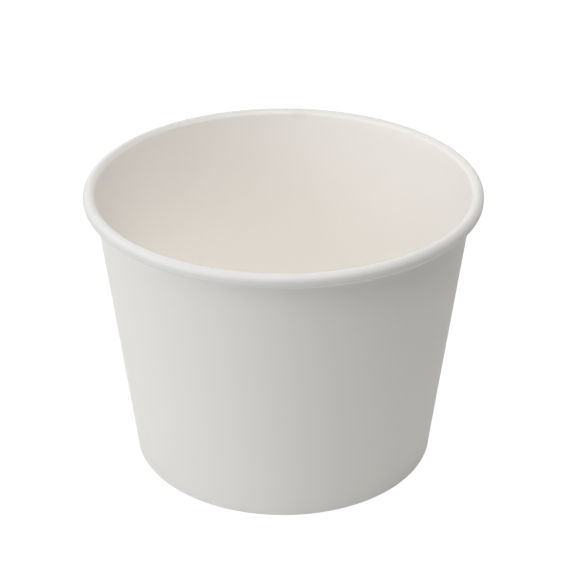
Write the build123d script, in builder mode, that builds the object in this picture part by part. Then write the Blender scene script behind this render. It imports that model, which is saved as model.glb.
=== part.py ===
from build123d import *
import os
from math import asin, atan, atan2, cos, degrees, sin, tan

# A paper bowl: a cone of coated board with a rolled rim and a folded foot, and a bottom disc
# whose turned-down skirt is held in that fold. Sizes are in millimetres, angles in degrees.

# The whole bowl
rim_diameter = 118.0  # over the rolled rim
base_diameter = 92.2  # over the foot, at the table
bowl_height = 86.8  # table to the top of the rim

# The two boards
wall_board = 0.45
bottom_board = 0.40

# The rolled rim
roll_width = 3.5  # from the inside of the wall to the outside of the roll
roll_side = 0.7  # upright part between the top bend and the under bend
roll_gap = 0.2  # air between one turn of the roll and the next
curl_turn = 130.0  # how far the free edge curls round inside the roll

# The folded foot
infold_height = 5.4  # table to the free edge of the infold
fold_radius = 0.15  # inside bend of the fold
foot_flare = 0.08  # how far the pressed foot stands out from the taper of the wall
flare_height = 6.5  # table to the middle of the bend between foot and wall
flare_blend = 2.0  # length of that bend on each side of its middle

# The bottom disc
foot_recess = 7.0  # table to the underside of the disc
disc_bend = 0.5  # inside bend between disc and skirt
skirt_clearance = 0.3  # between the skirt's edge and the floor of the fold
seal_gap = 0.1  # sealing film on each side of the skirt

# The side seam, at the back
seam_offset = 1.0  # from the middle of the back to the edge of the inner end of the blank
lap_width = 8.0  # overlap of the two ends
lap_ramp = 6.0  # run over which the outer end comes down past the inner one's edge
lap_setback = 0.7  # from the lap's ends to the table, the disc, the infold's edge and the roll
sunk_share = 0.5  # share of a board by which the lap and its ramp run on under the face they lie on

# Middle of the wall's board: a cone that meets the first bend of the roll at a tangent
rim_radius = rim_diameter / 2
base_radius = base_diameter / 2
half_board = wall_board / 2
roll_radius = roll_width / 2
roll_centre = Vector(rim_radius - roll_radius, bowl_height - roll_radius)
roll_bend = roll_radius - half_board
cone_foot = Vector(base_radius - foot_flare - half_board, 0)
reach = roll_centre - cone_foot
taper = atan2(reach.X, reach.Y) - asin(roll_bend / reach.length)
wall_top = roll_centre + Vector(-cos(taper), sin(taper)) * roll_bend

# The rest of the roll follows from its first bend
under_bend = (roll_width - wall_board - roll_gap) / 2 - half_board
curl_bend = roll_bend - wall_board - roll_gap
roll_bottom = bowl_height - roll_radius - roll_side - under_bend - half_board

# The foot leans a little less than the wall above it
knee = cone_foot + Vector(tan(taper), 1) * flare_height
foot_lean = tan(taper) - foot_flare / flare_height
flare_bend = flare_blend / tan((taper - atan(foot_lean)) / 2)
fold_bend = fold_radius + half_board

# Depth of each layer of the foot behind its outside
skirt_depth = wall_board + seal_gap + bottom_board / 2
foot_depth = wall_board + seal_gap + bottom_board + seal_gap + wall_board


def foot_point(depth, height):
    """A point of the foot's section, at a depth behind its outside."""
    return (base_radius - depth + height * foot_lean, height)


def wall_radius(height):
    """Outside radius of the wall, which flares out at the foot."""
    return max(foot_point(0, height)[0], cone_foot.X + half_board + height * tan(taper))


def around(run, face):
    """A way along a face from the middle of the back, as a direction about the axis."""
    return 90 - degrees(run / face)


def lap_section(height, face, rise):
    """Level slice of the outer end where it lies on a face of the inner one, to its square-cut edge."""
    edge = around(seam_offset, face)
    with BuildSketch(Plane.XY.offset(height)) as lap:
        with BuildLine():
            raised = CenterArc((0, 0), face + rise, edge, degrees(lap_width / face))
            sunk = CenterArc((0, 0), face - rise * sunk_share, edge, degrees(lap_width / face))
            Line(raised @ 0, sunk @ 0)
            Line(raised @ 1, sunk @ 1)
        make_face()
    return lap.sketch


def ramp_section(height, face, rise):
    """Level slice of the wedge by which a face moves out past the inner end's edge and back again."""
    edge = around(seam_offset, face)
    tip = around(seam_offset + lap_ramp * (1 + sunk_share), face)
    with BuildSketch(Plane.XY.offset(height)) as ramp:
        with BuildLine():
            slope = ThreePointArc(
                Vector(face + rise, 0).rotate(Axis.Z, edge),
                Vector(face + rise * (1 - sunk_share) / 2, 0).rotate(Axis.Z, (edge + tip) / 2),
                Vector(face - rise * sunk_share, 0).rotate(Axis.Z, tip),
            )
            sunk = CenterArc((0, 0), face - rise * sunk_share, tip, edge - tip)
            Line(slope @ 0, sunk @ 1)
        make_face()
    return ramp.sketch


# The side wall: the middle line of the sheet, from the infold's edge round the foot, up the wall
# and round the roll to the edge inside it, given the board's thickness and turned about the axis
with BuildPart() as side_wall:
    with BuildSketch(Plane.XZ):
        with BuildLine():
            wall = FilletPolyline(
                foot_point(foot_depth - half_board, infold_height),
                foot_point(foot_depth - half_board, half_board),
                foot_point(half_board, half_board),
                knee,
                wall_top,
                radius=[fold_bend, fold_bend, flare_bend],
            )
            top = JernArc(wall @ 1, wall % 1, roll_bend, degrees(taper) - 180)
            side = Line(top @ 1, top @ 1 - Vector(0, roll_side))
            under = JernArc(side @ 1, side % 1, under_bend, -180)
            tuck = Line(under @ 1, under @ 1 + Vector(0, roll_side))
            JernArc(tuck @ 1, tuck % 1, curl_bend, -curl_turn)
        trace(line_width=wall_board)
    revolve(axis=Axis.Z)

    # The seam: outside the wall and on the infold the outer end stands one board higher and then
    # comes down, and inside the wall it comes in from behind the edge of the inner end
    lap_top = roll_bottom - lap_setback
    wall_heights = (lap_setback, flare_height, lap_top)
    infold_heights = (lap_setback, infold_height - lap_setback)
    inside_heights = (foot_recess + bottom_board + lap_setback, lap_top - lap_setback)
    for section in (lap_section, ramp_section):
        loft([section(z, wall_radius(z), wall_board) for z in wall_heights], ruled=True)
        loft([section(z, foot_point(foot_depth, z)[0], -wall_board) for z in infold_heights], ruled=True)
    inside = [ramp_section(z, wall_radius(z) - wall_board / cos(taper), wall_board) for z in inside_heights]
    loft(inside, ruled=True, mode=Mode.SUBTRACT)

# The bottom disc: the middle line of its board, from the axis out and down into the fold
with BuildPart() as bottom_disc:
    with BuildSketch(Plane.XZ):
        with BuildLine():
            disc_height = foot_recess + bottom_board / 2
            FilletPolyline(
                (0, disc_height),
                foot_point(skirt_depth, disc_height),
                foot_point(skirt_depth, wall_board + skirt_clearance),
                radius=disc_bend + bottom_board / 2,
            )
        trace(line_width=bottom_board)
    revolve(axis=Axis.Z)

side_wall.part.label = "side_wall"
bottom_disc.part.label = "bottom_disc"
os.makedirs("parts", exist_ok=True)
export_step(side_wall.part, "parts/side_wall.step")
export_step(bottom_disc.part, "parts/bottom_disc.step")
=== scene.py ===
import bpy
from math import asin, atan, atan2, cos, degrees, hypot, pi, radians, sin, tan
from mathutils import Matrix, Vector


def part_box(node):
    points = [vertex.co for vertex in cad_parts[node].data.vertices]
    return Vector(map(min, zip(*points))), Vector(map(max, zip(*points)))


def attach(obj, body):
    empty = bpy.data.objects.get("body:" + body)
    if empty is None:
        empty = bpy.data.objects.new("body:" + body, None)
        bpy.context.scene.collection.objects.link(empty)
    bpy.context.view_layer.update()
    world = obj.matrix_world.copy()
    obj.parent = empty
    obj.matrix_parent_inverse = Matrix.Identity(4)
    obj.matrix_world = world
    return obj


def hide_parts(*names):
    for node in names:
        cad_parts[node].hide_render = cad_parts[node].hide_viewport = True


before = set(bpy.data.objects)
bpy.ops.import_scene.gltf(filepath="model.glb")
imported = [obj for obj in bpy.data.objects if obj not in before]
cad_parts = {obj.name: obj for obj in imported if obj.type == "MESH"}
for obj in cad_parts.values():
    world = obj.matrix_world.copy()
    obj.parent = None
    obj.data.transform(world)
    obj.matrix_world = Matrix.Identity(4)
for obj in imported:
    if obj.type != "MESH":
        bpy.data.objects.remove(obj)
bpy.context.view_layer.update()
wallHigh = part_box("side_wall")[1]
mm = 0.001
near = mm / 10  # how far a point may lie from the face that it belongs to
weld = mm / 1000
print("frame loaded, rim", round(wallHigh.x / mm, 2), "mm in radius,", round(wallHigh.z / mm, 2), "mm high")


# Drawing a board's middle line in the XZ plane: the selected end vertex is extruded or spun on
class BoardLine:
    def __init__(self, name, radius, height, heading):
        bpy.ops.object.select_all(action="DESELECT")
        bpy.ops.mesh.primitive_plane_add(size=mm)
        self.piece = bpy.context.object
        self.piece.name = name
        self.end = Vector((radius, 0, height))
        self.heading = heading  # degrees: 0 is outwards, 90 is up
        bpy.ops.object.mode_set(mode="EDIT")
        bpy.ops.mesh.merge(type="CENTER")
        bpy.ops.transform.translate(value=self.end)

    def towards(self, angle):
        return Vector((cos(radians(angle)), 0, sin(radians(angle))))

    def straight(self, length, pieces=1):
        step = self.towards(self.heading) * length / pieces
        for _ in range(pieces):
            bpy.ops.mesh.extrude_vertices_move(TRANSFORM_OT_translate={"value": step})
        self.end += step * pieces

    def bend(self, radius, turn, pieces):  # a positive turn is to the left
        side = 90 if turn > 0 else -90
        centre = self.end + self.towards(self.heading + side) * radius
        bpy.ops.mesh.spin(steps=pieces, angle=radians(turn), center=centre, axis=(0, 1, 0))
        self.heading += turn
        self.end = centre - self.towards(self.heading + side) * radius

    def turnAbout(self, sectors):  # chained spins about the bowl's axis, closed into one skin
        bpy.ops.mesh.select_all(action="SELECT")
        for angle, pieces in sectors:
            bpy.ops.mesh.spin(steps=pieces, angle=-radians(angle), center=(0, 0, 0), axis=(0, 0, 1))
        bpy.ops.mesh.select_all(action="SELECT")
        bpy.ops.mesh.remove_doubles(threshold=weld)
        bpy.ops.mesh.normals_make_consistent(inside=False)
        bpy.ops.object.mode_set(mode="OBJECT")
        return self.piece


def pointOut(piece, probe):  # turns the skin so that the face next to the probe looks away from the axis
    face = min(piece.data.polygons, key=lambda polygon: (polygon.center - probe).length)
    if face.normal.dot(Vector((probe.x, probe.y, 0))) < 0:
        bpy.ops.object.mode_set(mode="EDIT")
        bpy.ops.mesh.select_all(action="SELECT")
        bpy.ops.mesh.flip_normals()
        bpy.ops.object.mode_set(mode="OBJECT")


def thicken(piece, board, finishes):  # of the side that the skin looks to, the other side and the cut edge
    for finish in finishes:
        piece.data.materials.append(finish)
    solid = piece.modifiers.new("board", "SOLIDIFY")
    solid.thickness = board
    solid.offset = 0
    solid.use_even_offset = True
    solid.material_offset = 1
    solid.material_offset_rim = 2
    bpy.ops.object.modifier_apply(modifier=solid.name)


# Shader maths on sockets: a sum of wrapped sockets adds its Math nodes
class Value:
    def __init__(self, finish, socket):
        self.finish = finish
        self.socket = socket

    def maths(self, operation, first, second):
        return self.finish.node("ShaderNodeMath", {"operation": operation}, {0: first, 1: second})

    def __add__(self, other):
        return self.maths("ADD", self, other)

    def __radd__(self, other):
        return self.maths("ADD", other, self)

    def __sub__(self, other):
        return self.maths("SUBTRACT", self, other)

    def __rsub__(self, other):
        return self.maths("SUBTRACT", other, self)

    def __mul__(self, other):
        return self.maths("MULTIPLY", self, other)


class Finish:
    def __init__(self, owner):  # a new material or world
        owner.use_nodes = True
        self.owner = owner
        self.tree = owner.node_tree
        self.tree.nodes.clear()
        self.place = self.node("ShaderNodeTexCoord", {}, {}, "Object")

    def node(self, kind, settings, sockets, output=0):
        made = self.tree.nodes.new(kind)
        for name, setting in settings.items():
            setattr(made, name, setting)
        for name, value in sockets.items():
            if isinstance(value, Value):
                self.tree.links.new(value.socket, made.inputs[name])
            else:
                made.inputs[name].default_value = value
        return Value(self, made.outputs[output]) if made.outputs else None

    def cloud(self, size, detail, roughness):  # soft noise from 0 to 1, with lumps of that size
        sockets = {"Vector": self.place, "Scale": 1 / size, "Detail": detail, "Roughness": roughness}
        return self.node("ShaderNodeTexNoise", {}, sockets)

    def mix(self, share, first, second):  # one colour into another
        sockets = {"Factor": share, 6: first, 7: second}
        return self.node("ShaderNodeMix", {"data_type": "RGBA", "clamp_factor": True}, sockets, 2)

    def relief(self, height, depth):
        return self.node("ShaderNodeBump", {}, {"Height": height, "Distance": depth, "Strength": 1.0})

    def shade(self, sockets):
        shader = self.node("ShaderNodeBsdfPrincipled", {}, sockets)
        self.node("ShaderNodeOutputMaterial", {}, {"Surface": shader})
        return self.owner


# Matt outside of the board: felted fibres and a faint cloudiness
mattBoard = {
    "colour": (0.85, 0.834, 0.807, 1),
    "cloudColour": (0.84, 0.823, 0.795, 1),
    "roughness": 0.62,
    "roughnessSpread": 0.12,
    "fibre": (0.22 * mm, 4, 0.6),  # size, detail and roughness of the noise
    "cloud": (3.5 * mm, 3, 0.55),
    "fibreShare": 0.2,  # in the colour, next to the cloud
    "cloudRelief": 0.8,  # next to the fibres
    "fibreDepth": 0.012 * mm,
}


def mattBoardFinish():
    v = mattBoard
    finish = Finish(bpy.data.materials.new("mattBoard"))
    fibre, cloud = finish.cloud(*v["fibre"]), finish.cloud(*v["cloud"])
    tone = cloud * (1 - v["fibreShare"]) + fibre * v["fibreShare"]
    return finish.shade({
        "Base Color": finish.mix(tone, v["colour"], v["cloudColour"]),
        "Roughness": v["roughness"] + (fibre - 0.5) * v["roughnessSpread"],
        "Normal": finish.relief(fibre + cloud * v["cloudRelief"], v["fibreDepth"]),
    })


# Film on the inside of the board and on the roll: semi-gloss, with a soft ripple over the fibres,
# rougher on the roll, where a darker colour is painted shade
filmBoard = {
    # partly the film's own pale colour, partly painted light for the light that comes through the thin board
    "colour": (0.972, 0.947, 0.914, 1),
    "cloudColour": (0.962, 0.935, 0.9, 1),
    # painted shade: a darker copy of the film colour for the disc, which faces up to the overhead lamp
    "discShadedColour": (0.885, 0.86, 0.822, 1),
    "discShadedCloudColour": (0.877, 0.85, 0.81, 1),
    # painted shade: a darker copy of the film colour on the roll, because the rim's top catches more light
    # than the inside
    "rollShadeColour": (0.776, 0.771, 0.765, 1),
    "rollFrom": wallHigh.x - 3.65 * mm,  # radius at which the roll starts, and where it is all roll
    "rollTo": wallHigh.x - 2.5 * mm,
    "roughness": 0.42,
    "roughnessSpread": 0.1,
    "rollRoughness": 0.12,  # more on the roll
    "fibre": (0.3 * mm, 3, 0.55),  # size, detail and roughness of the noise
    "ripple": (1.6 * mm, 2, 0.5),
    "cloud": (5 * mm, 2, 0.5),
    "fibreRelief": 0.25,  # next to the ripple
    "rippleDepth": 0.016 * mm,
}


def filmBoardFinish(name, colour, cloudColour):
    v = filmBoard
    finish = Finish(bpy.data.materials.new(name))
    fibre, ripple, cloud = (finish.cloud(*v[noise]) for noise in ("fibre", "ripple", "cloud"))
    level = finish.node("ShaderNodeVectorMath", {"operation": "MULTIPLY"}, {0: finish.place, 1: (1, 1, 0)})
    radius = finish.node("ShaderNodeVectorMath", {"operation": "LENGTH"}, {0: level}, "Value")
    onRoll = finish.node(
        "ShaderNodeMapRange", {"interpolation_type": "SMOOTHSTEP"},
        {"Value": radius, "From Min": v["rollFrom"], "From Max": v["rollTo"]})
    inside = finish.mix(cloud, colour, cloudColour)
    return finish.shade({
        # painted shade: towards the rim the colour turns to the darker roll colour
        "Base Color": finish.mix(onRoll, inside, v["rollShadeColour"]),
        "Roughness": v["roughness"] + (ripple - 0.5) * v["roughnessSpread"] + onRoll * v["rollRoughness"],
        "Normal": finish.relief(ripple + fibre * v["fibreRelief"], v["rippleDepth"]),
    })


# Raw cut edge: torn fibres in thin layers
cutEdge = {
    "colour": (0.8, 0.785, 0.75, 1),
    "fibreColour": (0.72, 0.7, 0.655, 1),
    "roughness": 0.8,
    "roughnessSpread": 0.1,
    "fibre": (0.09 * mm, 4, 0.65),  # size, detail and roughness of the noise
    "fibreDepth": 0.03 * mm,
}


def cutEdgeFinish():
    v = cutEdge
    finish = Finish(bpy.data.materials.new("cutEdge"))
    fibre = finish.cloud(*v["fibre"])
    return finish.shade({
        "Base Color": finish.mix(fibre, v["colour"], v["fibreColour"]),
        "Roughness": v["roughness"] + (fibre - 0.5) * v["roughnessSpread"],
        "Normal": finish.relief(fibre, v["fibreDepth"]),
    })


outside, edge = mattBoardFinish(), cutEdgeFinish()
wallFilm = filmBoardFinish("wallFilm", filmBoard["colour"], filmBoard["cloudColour"])
# the disc film takes the darker copy of the film colour, as painted shade
discFilm = filmBoardFinish("discFilm", filmBoard["discShadedColour"], filmBoard["discShadedCloudColour"])
print("finishes mixed")

# The side wall: one sheet, folded in at the foot and rolled out at the rim
wall = {
    "board": 0.45 * mm,
    "baseRadius": 46.1 * mm,
    "rollWidth": 3.5 * mm,
    "rollSide": 0.7 * mm,
    "rollGap": 0.2 * mm,
    "curlTurn": 130,
    "infoldHeight": 5.4 * mm,
    "foldRadius": 0.15 * mm,
    "footFlare": 0.08 * mm,
    "flareHeight": 6.5 * mm,
    "flareBlend": 2 * mm,
    "footDepth": 1.5 * mm,  # board, skirt and infold with their seals
    "columns": 4,  # to a knurl ridge
    "rows": {"infold": 4, "fold": 8, "foot": 3, "flare": 3, "wall": 24, "neck": 3},  # up the sheet
    "rollRows": {"top": 26, "under": 18, "curl": 12},
}
halfBoard = wall["board"] / 2
rollRadius = wall["rollWidth"] / 2
rollBend = rollRadius - halfBoard
underBend = (wall["rollWidth"] - wall["board"] - wall["rollGap"]) / 2 - halfBoard
rollBottom = wallHigh.z - rollRadius - wall["rollSide"] - underBend - halfBoard
rollCentre = Vector((wallHigh.x - rollRadius, 0, wallHigh.z - rollRadius))
coneFoot = Vector((wall["baseRadius"] - wall["footFlare"] - halfBoard, 0, 0))
reach = rollCentre - coneFoot
taper = atan2(reach.x, reach.z) - asin(rollBend / reach.length)
wallTop = rollCentre + Vector((-cos(taper), 0, sin(taper))) * rollBend
knee = coneFoot + Vector((tan(taper), 0, 1)) * wall["flareHeight"]
footLean = tan(taper) - wall["footFlare"] / wall["flareHeight"]
lean = degrees(atan(footLean))
foldBend = wall["foldRadius"] + halfBoard

# The side seam at the back: places along the wall, positive to the right from the front
seam = {
    "edge": 1 * mm,  # where the inner end of the sheet stops
    "lap": 8 * mm,
    "ramp": 6 * mm,
    "crisp": 0.1 * mm,  # run of a cut edge
    "setback": 0.7 * mm,
    "insideFrom": 8.5 * mm,  # height where the film side's step starts, clear of the disc
    "insideRise": 3.5 * mm,  # run over which the film side steps back past that edge, and all of its run
    "insideReach": 11 * mm,
    "insideShare": 0.08,  # how much of the board's step shows on the film, and on the roll
    "rollShare": 0.55,
    "rollBlend": 6 * mm,  # height over which the one becomes the other
    "edgeFacing": 0.7,  # how squarely a face of the cut edge looks along the wall
    "sector": 20,  # degrees on each side of the middle of the back
    "reachPieces": 16,
    "lapPieces": 6,
    "plainPieces": (3, 8),  # from the sector's ends to the seam
}

# Knurl pressed into the infold, where the foot's layers are sealed
knurl = {"ridges": 72, "depth": 0.16 * mm, "low": 1 * mm, "high": 4.9 * mm}


def smooth(share):  # eases from 0 to 1
    share = min(max(share, 0), 1)
    return share * share * (3 - 2 * share)


def footPoint(depth, height):
    return Vector((wall["baseRadius"] - depth + height * footLean, 0, height))


def wallFace(height):  # outside radius of the wall
    cone = coneFoot.x + halfBoard / cos(taper) + height * tan(taper)
    return max(footPoint(0, height).x, cone)


def drawSheet():
    rows, rollRows = wall["rows"], wall["rollRows"]
    start = footPoint(wall["footDepth"] - halfBoard, wall["infoldHeight"])
    inner = footPoint(wall["footDepth"] - halfBoard, halfBoard)
    outer = footPoint(halfBoard, halfBoard)
    innerCut = foldBend * tan(radians(45 + lean / 2))
    outerCut = foldBend * tan(radians(45 - lean / 2))
    setback, crisp = seam["setback"], seam["crisp"]
    sheet = BoardLine("sideWall", start.x, start.z, -90 - lean)
    upright = (start - inner).length - innerCut
    lowStretch = (setback - halfBoard) / cos(radians(lean)) - innerCut
    sheet.straight(setback - crisp)
    sheet.straight(crisp)
    sheet.straight(upright - setback - lowStretch, rows["infold"])
    sheet.straight(lowStretch)
    sheet.bend(foldBend, 90 + lean, rows["fold"])
    sheet.straight((outer - inner).length - innerCut - outerCut)
    sheet.bend(foldBend, 90 - lean, rows["fold"])
    lowStretch = (setback - halfBoard) / cos(radians(lean)) - outerCut
    sheet.straight(lowStretch)
    sheet.straight((knee - outer).length - outerCut - lowStretch - wall["flareBlend"], rows["foot"])
    flareTurn = degrees(taper) - lean
    sheet.bend(wall["flareBlend"] / tan(radians(flareTurn / 2)), -flareTurn, rows["flare"])
    lapTop = rollBottom - setback
    topStretch = (wallTop.z - lapTop) / cos(taper)
    sheet.straight((wallTop - knee).length - wall["flareBlend"] - topStretch, rows["wall"])
    sheet.straight(crisp)
    sheet.straight(topStretch - crisp, rows["neck"])
    sheet.bend(rollBend, degrees(taper) - 180, rollRows["top"])
    sheet.straight(wall["rollSide"])
    sheet.bend(underBend, -180, rollRows["under"])
    sheet.straight(wall["rollSide"])
    sheet.bend(rollBend - wall["board"] - wall["rollGap"], -wall["curlTurn"], rollRows["curl"])
    return sheet, lapTop


def seamColumns(halfRun):  # places of the columns in the seam's sector, from right to left
    edgeAt, lap, reachPieces, lapPieces = seam["edge"], seam["lap"], seam["reachPieces"], seam["lapPieces"]
    rightPieces, leftPieces = seam["plainPieces"]
    first, last = edgeAt + seam["insideReach"], edgeAt - lap - seam["crisp"]
    right = [halfRun + (first - halfRun) * i / rightPieces for i in range(rightPieces)]
    ramp = [first - seam["insideReach"] * i / reachPieces for i in range(reachPieces)]
    covered = [edgeAt - lap * i / lapPieces for i in range(lapPieces + 1)]
    left = [last - (halfRun + last) * i / leftPieces for i in range(leftPieces + 1)]
    return right + ramp + covered + left


def outsideStep(along):  # share of a board by which the outer end stands out there
    if along < seam["edge"] - seam["lap"] - seam["crisp"] / 2:
        return 0
    return 1 - smooth((along - seam["edge"]) / seam["ramp"])


def insideStep(along):  # share by which the film side lies back there
    past = along - seam["edge"]
    back = smooth((past - seam["insideRise"]) / (seam["insideReach"] - seam["insideRise"]))
    return smooth(past / seam["insideRise"]) - back


def seamMove(along, radius, height, lapTop):  # how far the seam moves a point of the sheet outwards
    board, wallShare, rollShare = wall["board"], seam["insideShare"], seam["rollShare"]
    infoldTop = wall["infoldHeight"] - seam["setback"] + seam["crisp"]
    if height > seam["setback"] - seam["crisp"] / 2:
        if height < lapTop and abs(radius - wallFace(height)) < near:
            return board * outsideStep(along)
        if height < infoldTop and abs(radius - footPoint(wall["footDepth"], height).x) < near:
            return -board * outsideStep(along)
    film = wallFace(height) - board / cos(taper)
    if seam["insideFrom"] < height < wallTop.z and abs(radius - film) < near:
        share = wallShare + (rollShare - wallShare) * smooth((height - wallTop.z) / seam["rollBlend"] + 1)
        return board * share * insideStep(along)
    fromRoll = hypot(radius - rollCentre.x, height - rollCentre.z)
    if wallTop.z <= height and radius < rollCentre.x and fromRoll > rollRadius - near:
        return board * rollShare * insideStep(along) * (rollCentre.x - radius) / rollRadius
    return 0


def pressSheet(piece, meanRadius, lapTop):  # the seam at the back and the knurl round the rest of the infold
    leftEnd = seam["edge"] - seam["lap"] - 2 * seam["crisp"]
    rightEnd = seam["edge"] + seam["insideReach"] + seam["crisp"]
    for vertex in piece.data.vertices:
        radius = hypot(vertex.co.x, vertex.co.y)
        offset = pi / 2 - atan2(vertex.co.y, vertex.co.x)
        height = vertex.co.z
        along = offset * meanRadius
        fromInfold = abs(radius - footPoint(wall["footDepth"], height).x)
        onInfold = knurl["low"] < height < knurl["high"] and fromInfold < near / 2
        move = 0
        if leftEnd < along < rightEnd:
            move = seamMove(along, radius, height, lapTop)
            offset = along / radius
        elif onInfold and abs(offset) > radians(seam["sector"]):
            move = knurl["depth"] * (1 - cos(knurl["ridges"] * offset)) / 2
        vertex.co.x = (radius + move) * sin(offset)
        vertex.co.y = (radius + move) * cos(offset)
    for face in piece.data.polygons:  # the outer end's raw edge
        across = Vector((face.center.y, -face.center.x, 0)).normalized()
        if face.material_index == 0 and abs(face.normal.dot(across)) > seam["edgeFacing"]:
            face.material_index = 2


def makeSideWall():
    sheet, lapTop = drawSheet()
    meanRadius = wallFace(wallHigh.z / 2)
    sector = seam["sector"]
    columnStep = 360 / knurl["ridges"] / wall["columns"]
    places = [90 - degrees(along / meanRadius) for along in seamColumns(radians(sector) * meanRadius)]
    sectors = [(90 - sector, round((90 - sector) / columnStep))]
    sectors += [(after - before, 1) for before, after in zip(places, places[1:])]
    sectors += [(270 - sector, round((270 - sector) / columnStep))]
    piece = sheet.turnAbout(sectors)
    pointOut(piece, Vector((0, -meanRadius, wallHigh.z / 2)))
    thicken(piece, wall["board"], (outside, wallFilm, edge))
    pressSheet(piece, meanRadius, lapTop)
    return piece


# The bottom disc: a round with its edge turned down as a skirt
disc = {
    "board": 0.4 * mm,
    "recess": 7 * mm,
    "bend": 0.5 * mm,
    "skirtDepth": 0.75 * mm,  # middle of the skirt behind the foot's outside
    "skirtEdge": 0.75 * mm,  # above the table
    "columns": 160,
    "rows": {"round": 16, "bend": 8, "skirt": 3},
    "bow": 0.2 * mm,
    "bowSize": 30 * mm,
}


def makeBottomDisc():
    rows = disc["rows"]
    height = disc["recess"] + disc["board"] / 2
    corner = footPoint(disc["skirtDepth"], height)
    edgePoint = footPoint(disc["skirtDepth"], disc["skirtEdge"])
    bend = disc["bend"] + disc["board"] / 2
    cut = bend * tan(radians(45 + lean / 2))
    sheet = BoardLine("bottomDisc", 0, height, 0)
    sheet.straight(corner.x - cut, rows["round"])
    sheet.bend(bend, -90 - lean, rows["bend"])
    sheet.straight((corner - edgePoint).length - cut, rows["skirt"])
    piece = sheet.turnAbout([(360, disc["columns"])])
    pointOut(piece, Vector((0, -edgePoint.x, disc["recess"] / 2)))
    bow = bpy.data.textures.new("bow", "CLOUDS")
    bow.noise_scale = disc["bowSize"]
    swell = piece.modifiers.new("swell", "DISPLACE")
    swell.texture = bow
    swell.texture_coords = "LOCAL"
    swell.direction = "Z"
    swell.strength = disc["bow"]
    bpy.ops.object.modifier_apply(modifier=swell.name)
    thicken(piece, disc["board"], (discFilm, outside, edge))
    return piece


# Slight unevenness of the whole bowl, as it comes from the forming machine
warp = {
    "front": -0.22 * mm,  # how far the rim stands above or below its plane
    "back": 0.05 * mm,
    "sides": -0.08 * mm,
    "smoothAngle": 40,  # degrees up to which faces are shaded as one surface
}


def warpBowl(pieces):
    bpy.ops.object.select_all(action="DESELECT")
    bpy.ops.object.add(type="LATTICE", location=(0, 0, wallHigh.z / 2))
    cage = bpy.context.object
    cage.scale = (2 * wallHigh.x, 2 * wallHigh.x, wallHigh.z)
    cage.data.points_u = cage.data.points_v = 3
    cage.data.points_w = 2
    cage.data.interpolation_type_u = cage.data.interpolation_type_v = "KEY_CARDINAL"
    cage.data.interpolation_type_w = "KEY_LINEAR"
    for point in cage.data.points:
        if point.co.z > 0:
            lift = warp["front"] if point.co.y < 0 else warp["back"] if point.co.y > 0 else warp["sides"]
            point.co_deform.z += lift / wallHigh.z
    for piece in pieces:
        bpy.ops.object.select_all(action="DESELECT")
        bpy.context.view_layer.objects.active = piece
        piece.select_set(True)
        settle = piece.modifiers.new("settle", "LATTICE")
        settle.object = cage
        bpy.ops.object.modifier_apply(modifier=settle.name)
        bpy.ops.object.shade_smooth_by_angle(angle=radians(warp["smoothAngle"]))
    bpy.data.objects.remove(cage)


sideWall = makeSideWall()
print("side wall", len(sideWall.data.polygons), "faces")
bottomDisc = makeBottomDisc()
print("bottom disc", len(bottomDisc.data.polygons), "faces")
warpBowl([sideWall, bottomDisc])
for piece, node, slot in ((sideWall, "side_wall", "wall_board"), (bottomDisc, "bottom_disc", "bottom_board")):
    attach(piece, "root")
    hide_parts(node)
print("bowl put together")

# The stage: a pale floor that shows white and keeps a soft shadow
white = (1, 1, 1, 1)
stage = {
    "size": 4.0,
    "floorColour": (0.85, 0.85, 0.85, 1),
    "glow": 0.94,
    "shadowColour": (0.16, 0.16, 0.16, 1),
    "skyLight": 0.05,
}


def shownToCamera(finish):
    paths = [finish.node("ShaderNodeLightPath", {}, {}, name)
             for name in ("Is Camera Ray", "Is Glossy Ray", "Is Transmission Ray")]
    seen = paths[0]
    for path in paths[1:]:
        seen = finish.node("ShaderNodeMath", {"operation": "MAXIMUM"}, {0: seen, 1: path})
    return seen


def layFloor():
    bpy.ops.object.select_all(action="DESELECT")
    bpy.ops.mesh.primitive_plane_add(size=stage["size"])
    floor = bpy.context.object
    floor.name = "floor"
    finish = Finish(bpy.data.materials.new("floorPaper"))
    plain = finish.node("ShaderNodeBsdfDiffuse", {}, {"Color": stage["floorColour"]})
    glow = finish.node("ShaderNodeEmission", {}, {"Color": white, "Strength": stage["glow"]})
    shadow = finish.node("ShaderNodeBsdfDiffuse", {}, {"Color": stage["shadowColour"]})
    lit = finish.node("ShaderNodeAddShader", {}, {0: glow, 1: shadow})
    shown = finish.node("ShaderNodeMixShader", {}, {0: shownToCamera(finish), 1: plain, 2: lit})
    finish.node("ShaderNodeOutputMaterial", {}, {"Surface": shown})
    floor.data.materials.append(finish.owner)


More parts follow.
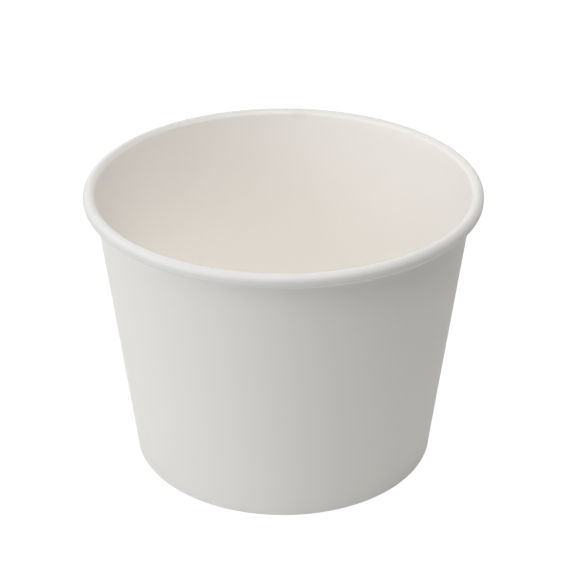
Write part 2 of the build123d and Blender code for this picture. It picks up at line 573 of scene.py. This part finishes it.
def hangSky():
    finish = Finish(bpy.data.worlds.new("sky"))
    bpy.context.scene.world = finish.owner
    seen = shownToCamera(finish)
    strength = seen + (1 - seen) * stage["skyLight"]
    light = finish.node("ShaderNodeBackground", {}, {"Color": white, "Strength": strength})
    finish.node("ShaderNodeOutputWorld", {}, {"Surface": light})


# Softboxes: turn from the camera's side and rise above the table in degrees, size in metres, power in watts
cool, warm = (0.98, 1, 1.025), (1.012, 1, 0.972)
softboxes = {
    "key": {"turn": -66, "rise": 20, "size": 0.8, "power": 4.8, "tint": cool},
    "front": {"turn": 0, "rise": 57, "size": 0.3, "power": 1.5, "tint": warm},
    "overhead": {"turn": 20, "rise": 76, "size": 0.4, "power": 3.97, "tint": warm},
    "right": {"turn": 95, "rise": 62, "size": 0.6, "power": 1.15, "tint": warm},
    "backLeft": {"turn": -130, "rise": 30, "size": 0.8, "power": 1.2, "tint": warm},
    "back": {"turn": 180, "rise": 30, "size": 0.8, "power": 1.5, "tint": warm},
}
softboxDistance = 1.0
softboxAim = Vector((0, 0, 50 * mm))


def hangSoftboxes():
    for name, box in softboxes.items():
        data = bpy.data.lights.new(name, "AREA")
        data.size = box["size"]
        data.energy = box["power"]
        data.color = box["tint"]
        turn, rise = radians(box["turn"]), radians(box["rise"])
        away = Vector((sin(turn) * cos(rise), -cos(turn) * cos(rise), sin(rise)))
        holder = bpy.data.objects.new(name, data)
        holder.location = softboxAim + away * softboxDistance
        holder.rotation_euler = (-away).to_track_quat("-Z", "Y").to_euler()
        bpy.context.scene.collection.objects.link(holder)


camera = {
    "elevation": 28.235,  # degrees above the table
    "distance": 517.8 * mm,
    "aimHeight": 53.15 * mm,
    "lens": 107.94,  # for a sensor 36 mm wide
}


def placeCamera():
    data = bpy.data.cameras.new("camera")
    data.lens = camera["lens"]
    holder = bpy.data.objects.new("camera", data)
    tilt = radians(camera["elevation"])
    aim = Vector((0, 0, camera["aimHeight"]))
    holder.location = aim + Vector((0, -cos(tilt), sin(tilt))) * camera["distance"]
    holder.rotation_euler = (aim - holder.location).to_track_quat("-Z", "Y").to_euler()
    bpy.context.scene.collection.objects.link(holder)
    bpy.context.scene.camera = holder


layFloor()
hangSky()
hangSoftboxes()
placeCamera()
bpy.context.scene.view_settings.view_transform = "Standard"
print("stage lit")
